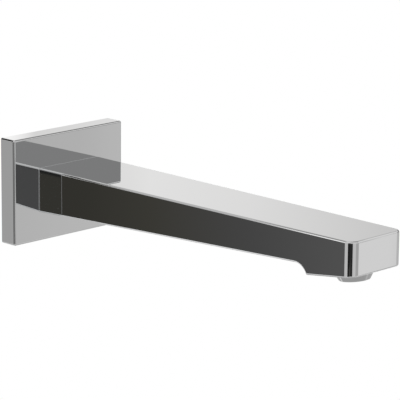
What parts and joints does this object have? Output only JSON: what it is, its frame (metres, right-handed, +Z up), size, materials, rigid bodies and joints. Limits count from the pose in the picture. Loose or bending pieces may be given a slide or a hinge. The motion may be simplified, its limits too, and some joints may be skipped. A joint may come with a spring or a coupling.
{
  "type": "bath spout",
  "caption": "Wall-mounted bath spout: a tapering oblong chrome bar on an oblong wall plate, with a coved, leaning end block and an aerator, fed by a threaded nipple.",
  "frame": {"origin": "where the inlet nipple's axis crosses the face of the wall, at the centre of the wall plate's back", "axes": "+X right as one faces the wall, +Y into the wall along the inlet's axis, +Z up; the spout stands out along -Y"},
  "size_m": [0.075, 0.233, 0.055],
  "materials": {
    "body_chrome": "polished chrome plate on cast brass",
    "plate_chrome": "polished chrome plate",
    "aerator_chrome": "polished chrome plate on turned brass",
    "nipple_brass": "turned brass",
    "seal_rubber": "moulded black rubber",
    "gasket_foam": "closed-cell foam rubber",
    "screw_steel": "stainless steel",
    "mesh_steel": "stainless wire screen",
    "insert_plastic": "moulded white acetal",
    "strainer_plastic": "moulded blue acetal",
    "grid_plastic": "moulded grey acetal"
  },
  "bodies": {
    "root": {"spout_body": "body_chrome", "wall_plate": "plate_chrome", "aerator_housing": "aerator_chrome", "connection_nipple": "nipple_brass", "nipple_seal": "seal_rubber", "wall_gasket": "gasket_foam", "grub_screw": "screw_steel", "aerator_washer": "seal_rubber", "inlet_strainer": "strainer_plastic", "jet_splitter": "insert_plastic", "mixing_sleeve": "insert_plastic", "mesh_screen": "mesh_steel", "outlet_grid": "grid_plastic"}
  },
  "joints": []
}
